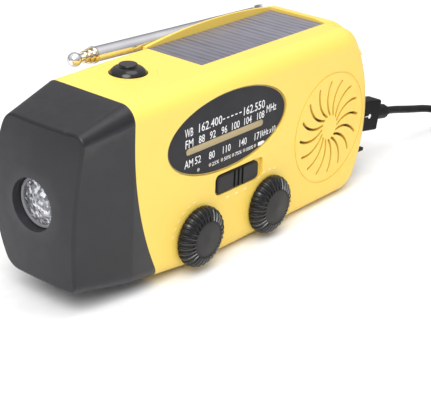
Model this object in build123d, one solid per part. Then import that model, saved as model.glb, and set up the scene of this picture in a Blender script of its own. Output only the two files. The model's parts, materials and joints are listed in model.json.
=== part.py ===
from build123d import *
import math
import os

# An emergency radio: wind-up generator, solar panel, torch, AM/FM/weather tuner.
# Millimetres. The case stands on Z = 0, its front faces -Y, the torch end is -X, +Z is up.
# The origin is on the base, midway along the case and between its front and its back.

# ---- driving dimensions -------------------------------------------------------------------
WALL = 2.2
HEIGHT = 74.0
FRONT_Y = -24.5
BACK_Y = 25.0
BACK_BULGE = 5.0
JOIN_Y = 17.6
TOP_ROUND = 7.0
BACK_ROUND = 5.0

END_ARC_X, END_ARC_Z, END_ARC_R = 25.6, 33.2, 62.7
END_TOP_ROUND, END_BOTTOM_ROUND = 11.6, 11.7
TAPER_X = -22.5
CAP_X = -59.0
END_SECTION_X = -88.0
CREASE_ROUND = 1.3
NOSE_X = -86.1
NOSE_R = 200.0
# front at the top, front at the bottom, back, bottom, top, bulge, front round, back round
CAP_SECTION = (-24.3, -23.4, 24.2, 4.2, HEIGHT, 5.5, 6.5, 5.5)
END_SECTION = (-23.0, -18.0, 20.2, 10.1, 68.1, 6.7, 3.1, 7.3)
PARTING_R = 130.0
PARTING_Z = 62.0

SPEAKER_X, SPEAKER_Z = 57.4, 34.85
GRILLE_SLOTS = 16
GRILLE_IN, GRILLE_OUT = 5.5, 19.9
GRILLE_RING_R = 24.1

TUNER_X, TUNER_Z = -24.7, 14.1
VOLUME_X, VOLUME_Z = 17.2, 13.6
KNOB_R, KNOB_FACE_R, KNOB_H = 11.9, 7.0, 5.0
KNOB_FLUTES = 32
KNOB_GAP = 0.4

DIAL_X, DIAL_Z = -7.9, 52.0
DIAL_A, DIAL_B = 34.6, 15.7
DIAL_SINK = 0.7
SCALE_X0, SCALE_X1, SCALE_Z, SCALE_H = -31.8, 13.1, 49.3, 2.8

SLIDER_X0, SLIDER_X1 = -15.0, 9.7
SLIDER_Z0, SLIDER_Z1 = 27.5, 34.8
SLIDER_TRAVEL = 3.0

BUTTON_X, BUTTON_Y, BUTTON_R = -34.3, 3.1, 7.0

PANEL_X0, PANEL_X1 = -9.0, 69.2
PANEL_Y0, PANEL_Y1 = -10.5, 18.3
PANEL_FLOOR_Z = 71.6
RIM_TOP_Z = 77.2
RIM_BACK_Y = 20.1
SHOULDER_Z = 60.0

TORCH_Y, TORCH_Z, TORCH_R = -0.6, 39.0, 9.9
TORCH_BACK_X = -70.0

ANTENNA_X, ANTENNA_Y, ANTENNA_Z = 70.0, 23.8, 71.1
ANTENNA_TILT = 2.2
ANTENNA_R = 3.0
ANTENNA_LENGTH = 98.5
ANTENNA_BALL_R = 2.7
ANTENNA_SECTIONS = 4
ANTENNA_STEP = 2.2

CRANK_X, CRANK_Z = 42.5, 37.0
ARM_Y = 28.6
ARM_THROW = 28.0
ARM_HALF = 7.0
ARM_DEPTH = 9.0
GRIP_R = 4.9
GRIP_LENGTH = 20.0
RUNNING = 0.05

CRANK_TEETH, IDLER_SMALL_TEETH, IDLER_BIG_TEETH, PINION_TEETH = 48, 12, 40, 10
CRANK_MODULE, PINION_MODULE = 0.75, 0.5
IDLER_ANGLE, MOTOR_ANGLE = -40.0, 20.0

USB_X, USB_Y, USB_Z = 88.0, -12.5, 28.2
USB_TILT = 10.0
MICRO_X, MICRO_Y, MICRO_Z = 86.0, -5.4, 24.0
COVER_X, COVER_Z = 87.2, 11.8
COVER_Y0, COVER_Y1 = -16.6, -3.0
COVER_LENGTH = 10.0
COVER_DROOP = 2.0

DOOR_X, DOOR_Z = (-45.0, 5.0), (5.5, 44.5)
CELL_X, CELL_Z = (-42.0, 3.4), (9.4, 42.4)
CELL_R, CELL_PITCH, CELL_Y = 5.2, 10.9, 15.0
LI_CELL_Y, LI_CELL_Z, LI_CELL_R = 3.5, 57.0, 9.1

POSTS = [(-50.0, 60.5), (-49.3, 26.0), (60.5, 65.3), (74.0, 9.5)]
POST_R = 3.0
SCREW_R = 1.3
SCREW_HEAD_R = 2.6

BOARD_Y = -11.0

PLUG_X0, PLUG_X1, BOOT_X1, LEAD_X0 = 1.6, 21.0, 29.4, 32.5
LEAD_R = 1.75
LEAD_ROUTE = [
    (120.0, -12.5, 22.56),
    (126.4, -12.5, 21.43),
    (140.0, -12.6, 17.9),
    (158.0, -13.3, 14.0),
    (170.0, -14.6, 9.0),
    (179.5, -15.7, 3.8),
    (187.0, -15.3, 1.8),
]
COIL_X, COIL_Y = 187.0, -36.0
COIL_MID_R = 19.0
PIECES = {}


# ---- helpers ------------------------------------------------------------------------------
def block(x0, x1, y0, y1, z0, z1):
    return Pos((x0 + x1) / 2, (y0 + y1) / 2, (z0 + z1) / 2) * Box(x1 - x0, y1 - y0, z1 - z0)


def rod_x(y, z, x0, x1, r):
    return Pos((x0 + x1) / 2, y, z) * Rot(0, 90, 0) * Cylinder(r, x1 - x0)


def rod_y(x, z, y0, y1, r):
    return Pos(x, (y0 + y1) / 2, z) * Rot(90, 0, 0) * Cylinder(r, y1 - y0)


def rod_z(x, y, z0, z1, r):
    return Pos(x, y, (z0 + z1) / 2) * Cylinder(r, z1 - z0)


def prism_x(face, x0, x1):
    return extrude(Plane.YZ.offset(x0) * face, amount=x1 - x0, dir=(1, 0, 0))


def prism_y(face, y0, y1):
    return extrude(Plane.XZ.offset(-y0) * face, amount=y1 - y0, dir=(0, 1, 0))


def prism_z(face, z0, z1):
    return extrude(Plane.XY.offset(z0) * face, amount=z1 - z0, dir=(0, 0, 1))


def turned(points, axis_plane):
    """A solid of revolution: points are (radius, distance along the axis)."""
    face = make_face(Polyline(*points, close=True))
    return axis_plane * revolve(Plane.XZ * face, Axis.Z)


def along_y(x, z, sign=1):
    """A plane whose own Z runs along +Y or -Y, at the given X and Z."""
    return Plane(origin=(x, 0, z), x_dir=(1, 0, 0), z_dir=(0, sign, 0))


def keep(name, shape):
    PIECES[name] = shape
    return shape


# ---- case ---------------------------------------------------------------------------------
def section(front_top, front_bottom, back, bottom, top, bulge, front_round, back_round, inset):
    """The case cut across X: flat front and top, a back that bulges, four rounded corners."""
    low = bottom + inset
    high = top - inset
    mid = (low + high) / 2
    rear = back - inset
    corner = rear - bulge
    edges = [
        Line((front_bottom + inset, low), (front_top + inset, high)),
        Line((front_top + inset, high), (corner, high)),
        ThreePointArc((corner, high), (rear, mid), (corner, low)),
        Line((corner, low), (front_bottom + inset, low)),
    ]
    face = make_face(edges)
    fronts = [v for v in face.vertices() if v.X < 0]
    face = fillet(fronts, front_round - inset * 0.5)
    backs = [v for v in face.vertices() if v.X > corner - 0.01]
    return fillet(backs, back_round - inset * 0.5)


def right_half(inset):
    """The case from TAPER_X to its rounded right end, with rounded front and back rims."""
    low = inset
    high = HEIGHT - inset
    radius = END_ARC_R - inset
    top_x = END_ARC_X + math.sqrt(radius**2 - (high - END_ARC_Z) ** 2)
    low_x = END_ARC_X + math.sqrt(radius**2 - (END_ARC_Z - low) ** 2)
    start = TAPER_X - 20
    end_arc = ThreePointArc((low_x, low), (END_ARC_X + radius, END_ARC_Z), (top_x, high))
    outline = make_face(
        [
            Line((start, low), (low_x, low)),
            end_arc,
            Line((top_x, high), (start, high)),
            Line((start, high), (start, low)),
        ]
    )
    tops = [v for v in outline.vertices() if abs(v.Y - high) < 0.01 and v.X > 0]
    outline = fillet(tops, END_TOP_ROUND)
    lows = [v for v in outline.vertices() if abs(v.Y - low) < 0.01 and v.X > 0]
    outline = fillet(lows, END_BOTTOM_ROUND - inset * 0.5)
    solid = prism_y(outline, FRONT_Y + inset, BACK_Y + 5)
    rear = BACK_Y - inset
    corner = rear - BACK_BULGE
    mid = (low + high) / 2
    side = make_face(
        [
            Line((FRONT_Y - 5, low - 5), (FRONT_Y - 5, high + 5)),
            Line((FRONT_Y - 5, high + 5), (corner, high + 5)),
            Line((corner, high + 5), (corner, high)),
            ThreePointArc((corner, high), (rear, mid), (corner, low)),
            Line((corner, low), (corner, low - 5)),
            Line((corner, low - 5), (FRONT_Y - 5, low - 5)),
        ]
    )
    solid = solid & prism_x(side, start - 5, 100)
    front_rim = [e for e in solid.edges() if e.bounding_box().max.Y < FRONT_Y + inset + 0.01]
    front_rim = [e for e in front_rim if e.bounding_box().max.X > start + 0.1]
    solid = fillet(front_rim, TOP_ROUND - inset * 0.5)
    back_rim = [e for e in solid.edges() if e.bounding_box().min.Y > corner - 0.01]
    back_rim = [e for e in back_rim if e.bounding_box().max.X > start + 0.1]
    solid = fillet(back_rim, BACK_ROUND - inset * 0.5)
    return solid & block(TAPER_X, 100, -50, 50, -50, 100)


def left_half(inset):
    """The case from TAPER_X to the torch end, which narrows all round."""
    at_taper = section(FRONT_Y, FRONT_Y, BACK_Y, 0, HEIGHT, BACK_BULGE, TOP_ROUND, BACK_ROUND, inset)
    at_cap = section(*CAP_SECTION, inset)
    at_end = section(*END_SECTION, inset)
    straight = Plane.YZ.offset(TAPER_X) * at_taper
    cap = Plane.YZ.offset(CAP_X) * at_cap
    end = Plane.YZ.offset(END_SECTION_X) * at_end
    body = loft([straight, cap], ruled=True) + loft([cap, end], ruled=True)
    nose = Pos(NOSE_X + inset + NOSE_R, (FRONT_Y + BACK_Y) / 2, HEIGHT / 2) * Sphere(NOSE_R)
    body = body & nose
    if inset:
        return body
    crease = [e for e in body.edges() if e.bounding_box().max.X < CAP_X - 15]
    return fillet(crease, CREASE_ROUND)


def case_solid(inset):
    return right_half(inset) + left_half(inset)


def parting_prism(side):
    """Everything on one side of the curved parting between the torch cap and the case."""
    centre_x = CAP_X + PARTING_R
    drop = PARTING_Z + 10
    foot_x = centre_x - math.sqrt(PARTING_R**2 - drop**2)
    half_x = centre_x - math.sqrt(PARTING_R**2 - (drop / 2) ** 2)
    far = -150 if side < 0 else 150
    face = make_face(
        [
            Line((CAP_X, 110), (CAP_X, PARTING_Z)),
            ThreePointArc((CAP_X, PARTING_Z), (half_x, PARTING_Z - drop / 2), (foot_x, -10)),
            Line((foot_x, -10), (far, -10)),
            Line((far, -10), (far, 110)),
            Line((far, 110), (CAP_X, 110)),
        ]
    )
    return prism_y(face, -60, 60)


def panel_rim(inner):
    """The raised rim behind the solar panel, which runs down over the right-hand shoulder."""
    foot = HEIGHT - 3
    start = PANEL_X0 + 0.5
    arch = make_face(
        [
            Line((start, SHOULDER_Z), (start, HEIGHT)),
            ThreePointArc((start, HEIGHT), (36, RIM_TOP_Z), (74.5, 73.9)),
            ThreePointArc((74.5, 73.9), (79.9, 69.4), (82.4, SHOULDER_Z)),
            Line((82.4, SHOULDER_Z), (start, SHOULDER_Z)),
        ]
    )
    wedge = make_face(
        Polyline(
            (PANEL_Y0 - 11, SHOULDER_Z),
            (PANEL_Y0, HEIGHT),
            (PANEL_Y1, RIM_TOP_Z),
            (RIM_BACK_Y - 1.0, RIM_TOP_Z + 0.2),
            (RIM_BACK_Y, HEIGHT - 0.6),
            (RIM_BACK_Y, SHOULDER_Z),
            close=True,
        )
    )
    rim = prism_y(arch, -40, 40) & prism_x(wedge, -60, 100)
    rim -= block(-60, 60, -40, 40, 50, foot)
    rim -= block(-60, 100, JOIN_Y, 40, 50, PANEL_FLOOR_Z - 2.2)
    rim -= inner & block(50, 100, -40, 40, 50, PANEL_FLOOR_Z - 2.2)
    return rim - block(PANEL_X0, PANEL_X1, PANEL_Y0, PANEL_Y1, 60, 90)


def grille():
    """Sixteen curved slots that sweep outwards from the middle, as one cutter."""
    middle = (GRILLE_IN + GRILLE_OUT) / 2
    arc = ThreePointArc((GRILLE_IN, 0), (middle, 2.6), (GRILLE_OUT, 0.8))
    slot = SlotArc(arc, 1.15)
    cutter = Sketch() + [Rot(0, 0, i * 360 / GRILLE_SLOTS) * slot for i in range(GRILLE_SLOTS)]
    return prism_y(Pos(SPEAKER_X, SPEAKER_Z) * cutter, FRONT_Y - 1, FRONT_Y + WALL + 1)


def dial_face(margin):
    return Pos(DIAL_X, DIAL_Z) * Ellipse(DIAL_A - margin, DIAL_B - margin)


def usb_frame():
    """The USB socket's own frame: its mouth is at the origin and it looks along +X."""
    return Pos(USB_X, USB_Y, USB_Z) * Rot(0, USB_TILT, 0)


def slider_recess(margin):
    width = SLIDER_X1 + SLIDER_TRAVEL - SLIDER_X0 + 1.0 - 2 * margin
    height = SLIDER_Z1 - SLIDER_Z0 + 1.2 - 2 * margin
    middle = (SLIDER_X0 + SLIDER_X1 + SLIDER_TRAVEL) / 2
    return Pos(middle, (SLIDER_Z0 + SLIDER_Z1) / 2) * RectangleRounded(width, height, 2.4)


def cell_ribs():
    """Two ribs behind the front wall, cut to cradle the rechargeable cell."""
    ribs = block(-12, -10, FRONT_Y + 1, 2, 55.5, 67) + block(26, 28, FRONT_Y + 1, 2, 61.5, 69.6)
    return ribs - rod_x(LI_CELL_Y, LI_CELL_Z, -60, 60, LI_CELL_R + 0.1)


def build_case():
    outer = case_solid(0)
    inner = case_solid(WALL)
    shell = outer - inner
    shell -= block(40, 100, ANTENNA_Y - 3.8, 60, 62.4, 100)
    front_zone = block(-150, 150, -60, JOIN_Y, -20, 120)
    back_zone = block(-150, 150, JOIN_Y, 60, -20, 120)
    body_shell = shell & parting_prism(1)

    front = body_shell & front_zone
    tray = block(PANEL_X0 - 2, PANEL_X1 + 9, PANEL_Y0 - 2, RIM_BACK_Y, 69.4, HEIGHT - 1)
    front += tray & outer
    front += panel_rim(inner)
    front -= block(PANEL_X0, PANEL_X1, PANEL_Y0, PANEL_Y1, PANEL_FLOOR_Z, 90)
    button_shelf = block(BUTTON_X - 8, BUTTON_X + 8, FRONT_Y + 1, BUTTON_Y + 6, 58.8, 60.4)
    front += button_shelf + cell_ribs()
    for x, z in POSTS:
        front += rod_y(x, z, FRONT_Y + 1.5, JOIN_Y, POST_R) & outer
        front -= rod_y(x, z, 2.0, JOIN_Y + 1, SCREW_R - 0.25)
    front -= prism_y(dial_face(0), FRONT_Y - 1, FRONT_Y + 3)
    front += prism_y(dial_face(-0.8), FRONT_Y + WALL, FRONT_Y + WALL + 1.0)
    front -= prism_y(dial_face(1.8), FRONT_Y, FRONT_Y + 5)
    front -= prism_y(slider_recess(0), FRONT_Y - 1, FRONT_Y + 1.5)
    stem_z = (SLIDER_Z0 + SLIDER_Z1) / 2
    stem_x = (SLIDER_X0 + SLIDER_X1) / 2
    front -= block(stem_x - 3.0, stem_x + 3.0 + SLIDER_TRAVEL, -30, -18, stem_z - 1.6, stem_z + 1.6)
    front -= rod_y(TUNER_X, TUNER_Z, -30, -18, 3.3)
    front -= rod_y(VOLUME_X, VOLUME_Z, -30, -18, 3.3)
    front -= grille()
    groove = rod_y(SPEAKER_X, SPEAKER_Z, FRONT_Y - 1, FRONT_Y + 0.3, GRILLE_RING_R)
    front -= groove - rod_y(SPEAKER_X, SPEAKER_Z, FRONT_Y - 2, FRONT_Y + 2, GRILLE_RING_R - 0.8)
    front -= rod_z(BUTTON_X, BUTTON_Y, 60, 90, BUTTON_R + 0.3)
    front -= usb_frame() * block(-8, 12, -3.6, 3.6, -7.5, 7.5)
    front -= block(80, 100, MICRO_Y - 1.7, MICRO_Y + 1.7, MICRO_Z - 4.3, MICRO_Z + 4.3)
    for y in (COVER_Y0 - 1.6, COVER_Y1 + 0.3):
        lug = block(80, COVER_X, y, y + 1.3, COVER_Z - 1.5, COVER_Z + 1.5)
        lug += rod_y(COVER_X, COVER_Z, y, y + 1.3, 1.5)
        front += lug - inner
    front += rod_y(COVER_X, COVER_Z, COVER_Y0 - 1.5, COVER_Y1 + 1.5, 0.7)
    keep("front_case", front)

    back = body_shell & back_zone
    back -= block(PANEL_X0 - 2.2, 90, JOIN_Y - 1, RIM_BACK_Y + 0.1, 69.2, 90)
    back += rod_y(CRANK_X, CRANK_Z, 21.5, ARM_Y - 0.4, 8.5)
    back += rod_z(ANTENNA_X, ANTENNA_Y, 44.0, 65.0, 4.2) - inner
    back += (block(*DOOR_X, 8.0, 30, *DOOR_Z) & outer) - block(*CELL_X, 9.4, 40, *CELL_Z)
    back -= block(DOOR_X[0] + 1.4, DOOR_X[1] - 1.4, 20.4, 40, DOOR_Z[0] + 1.4, DOOR_Z[1] - 1.4)
    back -= rod_y(CRANK_X, CRANK_Z, 18, 40, 3.0 + RUNNING)
    back -= rod_z(ANTENNA_X, ANTENNA_Y, 50, 80, 2.5 + RUNNING)
    for x, z in POSTS:
        back -= rod_y(x, z, JOIN_Y - 1, 40, SCREW_R + 0.15)
        back -= rod_y(x, z, 20.4, 40, SCREW_HEAD_R + 0.2)
    keep("back_cover", back)

    cap = shell & parting_prism(-1)
    tube = rod_x(TORCH_Y, TORCH_Z, NOSE_X + 1.5, TORCH_BACK_X, TORCH_R + 1.6)
    cap = (cap + (tube & outer)) - rod_x(TORCH_Y, TORCH_Z, NOSE_X - 5, TORCH_BACK_X + 1, TORCH_R)
    keep("torch_cap", cap)

    screws = []
    for x, z in POSTS:
        screw = rod_y(x, z, 4.0, 20.6, SCREW_R - 0.25) + rod_y(x, z, 20.4, 22.2, SCREW_HEAD_R)
        screws.append(screw - block(x - 2, x + 2, 21.4, 23, z - 0.35, z + 0.35))
    keep("case_screws", Compound(children=screws))
    return outer


# ---- torch --------------------------------------------------------------------------------
def build_torch():
    plane = Plane(origin=(0, TORCH_Y, TORCH_Z), x_dir=(0, 1, 0), z_dir=(1, 0, 0))
    front_x = NOSE_X + 3.8
    outer_r = TORCH_R - 0.08
    bezel = [(8.3, front_x), (outer_r - 0.5, front_x), (outer_r, front_x + 0.5), (outer_r, front_x + 3.4)]
    keep("torch_bezel", turned(bezel + [(8.3, front_x + 3.4)], plane))
    lens = make_face(
        [
            Line((0, front_x + 3.4), (8.2, front_x + 3.4)),
            Line((8.2, front_x + 3.4), (8.2, front_x + 0.6)),
            ThreePointArc((8.2, front_x + 0.6), (4.9, front_x - 0.3), (1.0, front_x - 0.6)),
            Line((1.0, front_x - 0.6), (0, front_x - 0.6)),
            Line((0, front_x - 0.6), (0, front_x + 3.4)),
        ]
    )
    keep("torch_lens", plane * revolve(Plane.XZ * lens, Axis.Z))
    back_x = TORCH_BACK_X - 1.2
    cup = [(7.9, front_x + 3.5), (9.2, front_x + 3.5), (9.2, front_x + 5.2), (3.8, back_x), (2.6, back_x)]
    keep("torch_reflector", turned(cup, plane))
    led = make_face(
        [
            Line((0, back_x + 1.2), (9.0, back_x + 1.2)),
            Line((9.0, back_x + 1.2), (9.0, back_x + 0.05)),
            Line((9.0, back_x + 0.05), (2.0, back_x + 0.05)),
            Line((2.0, back_x + 0.05), (2.0, back_x - 1.0)),
            Line((2.0, back_x - 1.0), (0, back_x - 1.0)),
            Line((0, back_x - 1.0), (0, back_x + 1.2)),
        ]
    )
    chip = rod_x(TORCH_Y, TORCH_Z, back_x - 2.2, back_x - 0.9, 1.4)
    keep("torch_led", plane * revolve(Plane.XZ * led, Axis.Z) + chip)


# ---- top: solar panel and torch button ----------------------------------------------------
def build_top():
    gap = 0.25
    top = HEIGHT - 0.35
    panel = block(PANEL_X0 + gap, PANEL_X1 - gap, PANEL_Y0 + gap, PANEL_Y1 - gap, PANEL_FLOOR_Z, top)
    keep("solar_panel", chamfer(panel.faces().sort_by(Axis.Z)[-1].edges(), 0.3))

    rise = HEIGHT - 0.5
    profile = make_face(
        [
            Line((0, rise + 3.9), (3.1, rise + 3.9)),
            ThreePointArc((3.1, rise + 3.9), (3.45, rise + 3.75), (3.6, rise + 3.4)),
            Line((3.6, rise + 3.4), (3.7, rise + 2.9)),
            ThreePointArc((3.7, rise + 2.9), (5.7, rise + 2.1), (BUTTON_R, rise + 0.2)),
            Line((BUTTON_R, rise + 0.2), (BUTTON_R, 71.6)),
            Line((BUTTON_R, 71.6), (BUTTON_R + 1.3, 71.6)),
            Line((BUTTON_R + 1.3, 71.6), (BUTTON_R + 1.3, 70.4)),
            Line((BUTTON_R + 1.3, 70.4), (0, 70.4)),
            Line((0, 70.4), (0, rise + 3.9)),
        ]
    )
    plane = Plane(origin=(BUTTON_X, BUTTON_Y, 0), x_dir=(1, 0, 0), z_dir=(0, 0, 1))
    keep("torch_button", plane * revolve(Plane.XZ * profile, Axis.Z) + rod_z(BUTTON_X, BUTTON_Y, 67.6, 70.6, 1.4))
    switch = block(BUTTON_X - 5, BUTTON_X + 5, BUTTON_Y - 5, BUTTON_Y + 5, 60.4, 65.6)
    keep("torch_switch", switch - rod_z(BUTTON_X, BUTTON_Y, 64.0, 66, 2.2))
    spring = rod_z(BUTTON_X, BUTTON_Y, 65.6, 70.4, 3.4) - rod_z(BUTTON_X, BUTTON_Y, 65, 71, 2.6)
    keep("button_spring", spring)


# ---- front: dial, knobs, band switch ------------------------------------------------------
def build_dial():
    plate_front = FRONT_Y + DIAL_SINK
    plate = prism_y(dial_face(0.15), plate_front, FRONT_Y + WALL - 0.05)
    slot = Pos((SCALE_X0 + SCALE_X1) / 2, SCALE_Z) * SlotOverall(SCALE_X1 - SCALE_X0, SCALE_H)
    glass = Pos((SCALE_X0 + SCALE_X1) / 2, SCALE_Z) * SlotOverall(SCALE_X1 - SCALE_X0 - 0.1, SCALE_H - 0.1)
    keep("dial_plate", plate - prism_y(slot, -30, -18))
    keep("scale_lens", prism_y(glass, plate_front + 0.15, plate_front + 0.95))
    strip_y = FRONT_Y + 3.4
    low_x, high_x = SCALE_X0 - 1.0, SCALE_X1 + 1.0
    rail_y, rail_z = strip_y + 2.0, 42.8
    strip = block(low_x - 3, high_x + 3, strip_y, strip_y + 0.8, SCALE_Z - 2.6, SCALE_Z + 2.6)
    strip += rod_x(rail_y, rail_z, low_x - 3, high_x + 3, 0.8)
    for x in (low_x - 3, high_x + 1.6):
        strip += block(x, x + 1.4, strip_y, rail_y + 1.2, rail_z - 1.2, SCALE_Z)
    keep("scale_strip", strip)
    middle = (SCALE_X0 + SCALE_X1) / 2
    blade = block(middle - 0.5, middle + 0.5, strip_y - 0.75, strip_y - 0.25, 43.4, SCALE_Z + 1.6)
    carriage = block(middle - 3, middle + 3, strip_y - 0.75, strip_y + 4.0, 41.0, 44.6)
    carriage -= rod_x(rail_y, rail_z, middle - 4, middle + 4, 0.8 + RUNNING)
    keep("dial_pointer", blade + carriage)


def build_knob(name, x, z):
    """A round knob whose flutes run from the rim over the sloping edge to the flat face."""
    base = 0.0
    profile = make_face(
        [
            Line((0, base), (KNOB_R, base)),
            Line((KNOB_R, base), (KNOB_R, base + 0.8)),
            ThreePointArc((KNOB_R, base + 0.8), (10.9, 3.2), (KNOB_FACE_R + 1.1, KNOB_H - 0.6)),
            Line((KNOB_FACE_R + 1.1, KNOB_H - 0.6), (KNOB_FACE_R, KNOB_H)),
            Line((KNOB_FACE_R, KNOB_H), (0, KNOB_H)),
            Line((0, KNOB_H), (0, base)),
        ]
    )
    knob = revolve(Plane.XZ * profile, Axis.Z)
    path = Plane.XZ * ThreePointArc((KNOB_R + 0.35, -0.5), (11.35, 3.1), (KNOB_FACE_R + 0.6, KNOB_H + 0.35))
    flute = sweep(Plane(origin=path @ 0, z_dir=path % 0) * Circle(0.62), path=path)
    for i in range(KNOB_FLUTES):
        knob -= Rot(0, 0, i * 360 / KNOB_FLUTES) * flute
    plane = Plane(origin=(x, FRONT_Y - KNOB_GAP, z), x_dir=(1, 0, 0), z_dir=(0, -1, 0))
    knob = plane * knob
    return keep(name, knob - rod_y(x, z, FRONT_Y - KNOB_GAP - 3.2, -20, 3.0))


def build_controls():
    build_knob("tuning_knob", TUNER_X, TUNER_Z)
    build_knob("volume_knob", VOLUME_X, VOLUME_Z)
    tip_y = FRONT_Y - KNOB_GAP - 3.2
    drum = rod_y(TUNER_X, TUNER_Z, -20.0, -17.0, 8.9)
    keep("tuning_shaft", rod_y(TUNER_X, TUNER_Z, tip_y, -4.0, 3.0) + drum)
    keep("volume_shaft", rod_y(VOLUME_X, VOLUME_Z, tip_y, -13.0, 3.0))
    tuner = block(TUNER_X - 10, TUNER_X + 10, BOARD_Y, BOARD_Y + 10, TUNER_Z - 9, TUNER_Z + 11)
    keep("tuning_capacitor", tuner - rod_y(TUNER_X, TUNER_Z, BOARD_Y - 1, -3.8, 3.0 + RUNNING))
    pot = block(VOLUME_X - 8, VOLUME_X + 8, -20.5, BOARD_Y - 1.6, VOLUME_Z - 8, VOLUME_Z + 8)
    keep("volume_control", pot - rod_y(VOLUME_X, VOLUME_Z, -30, -12.8, 3.0 + RUNNING))

    middle_x, middle_z = (SLIDER_X0 + SLIDER_X1) / 2, (SLIDER_Z0 + SLIDER_Z1) / 2
    face = Pos(middle_x, middle_z) * RectangleRounded(SLIDER_X1 - SLIDER_X0, SLIDER_Z1 - SLIDER_Z0, 2.0)
    cap = prism_y(face, FRONT_Y - 0.7, FRONT_Y + 1.35)
    cap = fillet(cap.faces().sort_by(Axis.Y)[0].edges(), 0.6)
    for offset in (-2.4, 0, 2.4):
        cap -= block(middle_x + offset - 0.6, middle_x + offset + 0.6, -30, FRONT_Y - 0.2, 20, 40)
    stem = block(middle_x - 2.2, middle_x + 2.2, FRONT_Y + 1, -17.0, middle_z - 1.2, middle_z + 1.2)
    keep("band_slider", cap + stem)
    body = block(middle_x - 9, middle_x + 12, -21.4, BOARD_Y - 1.6, middle_z - 4, middle_z + 4)
    travel = block(middle_x - 3.0, middle_x + 3.0 + SLIDER_TRAVEL, -30, -16.6, middle_z - 1.5, middle_z + 1.5)
    keep("band_switch", body - travel)


# ---- speaker ------------------------------------------------------------------------------
def build_speaker():
    plane = along_y(SPEAKER_X, SPEAKER_Z)
    inside = FRONT_Y + WALL
    keep("grille_cloth", rod_y(SPEAKER_X, SPEAKER_Z, inside, inside + 0.3, 21.0))
    y = inside + 0.3
    frame = [(19.6, y), (22.4, y), (22.4, y + 1.5), (19.2, y + 1.5), (12.5, y + 11.0), (8.0, y + 11.0)]
    frame += [(8.0, y + 9.6), (11.8, y + 9.6), (18.0, y + 0.8), (19.6, y + 0.8)]
    keep("speaker_frame", turned(frame, plane))
    cone = [(17.6, y + 0.3), (17.8, y + 0.8), (7.4, y + 7.0), (0, y + 7.0), (0, y + 6.6), (6.9, y + 6.6)]
    keep("speaker_cone", turned(cone, plane))
    keep("speaker_magnet", rod_y(SPEAKER_X, SPEAKER_Z, y + 11.0, y + 17.0, 11.0))


# ---- electronics and cells ----------------------------------------------------------------
def build_electronics():
    board = block(-44, 28, BOARD_Y - 1.6, BOARD_Y, 4.0, 55)
    for x, z in POSTS:
        board -= rod_y(x, z, -20, 0, POST_R + 0.3)
    board -= rod_y(TUNER_X, TUNER_Z, -20, 0, 3.3)
    board -= rod_y(SPEAKER_X, SPEAKER_Z, -20, 0, 19.5)
    keep("main_board", board)
    keep("li_cell", rod_x(LI_CELL_Y, LI_CELL_Z, -22.5, 42.5, LI_CELL_R))
    cells = []
    ends = []
    for i in range(3):
        z = (CELL_Z[0] + CELL_Z[1]) / 2 + (i - 1) * CELL_PITCH
        cell = rod_x(CELL_Y, z, CELL_X[0] + 0.6, CELL_X[0] + 43.8, CELL_R)
        cells.append(cell + rod_x(CELL_Y, z, CELL_X[0] + 43.8, CELL_X[0] + 44.6, 1.9))
        ends.append(block(CELL_X[0] + 44.65, CELL_X[1], CELL_Y - 4, CELL_Y + 4, z - 4, z + 4))
        ends.append(block(CELL_X[0], CELL_X[0] + 0.55, CELL_Y - 4, CELL_Y + 4, z - 4, z + 4))
    keep("aaa_cells", Compound(children=cells))
    keep("cell_contacts", Compound(children=ends))


def build_door(outer):
    gap = 0.25
    x0, x1 = DOOR_X[0] + 1.4 + gap, DOOR_X[1] - 1.4 - gap
    z0, z1 = DOOR_Z[0] + 1.4 + gap, DOOR_Z[1] - 1.4 - gap
    door = outer & block(x0, x1, 20.6, 40, z0, z1)
    door -= block(x0 + 4, x0 + 6, 24.4, 40, 18, 32)
    door -= block(x0 + 8, x0 + 10, 24.4, 40, 18, 32)
    keep("battery_door", door)


# ---- generator and gears ------------------------------------------------------------------
def gear(teeth, module, width, bore, phase):
    """A spur gear about Z with straight-sided teeth, thinner than half a pitch for backlash."""
    pitch_r = teeth * module / 2
    root_r = pitch_r - 1.15 * module
    tip_r = pitch_r + 0.85 * module
    step = 2 * math.pi / teeth
    points = []
    for i in range(teeth):
        for turn, radius in ((-0.30, root_r), (-0.12, tip_r), (0.12, tip_r), (0.30, root_r)):
            angle = phase + (i + turn) * step
            points.append((radius * math.cos(angle), radius * math.sin(angle)))
    solid = extrude(make_face(Polyline(*points, close=True)), amount=width)
    return solid - Pos(0, 0, width / 2) * Cylinder(bore, width * 3)


def placed_gear(x, z, y0, solid):
    """Stands a gear that was drawn about Z on an axis along Y; angles keep their X to Z sense."""
    return Plane(origin=(x, y0, z), x_dir=(1, 0, 0), z_dir=(0, -1, 0)) * solid


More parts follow.
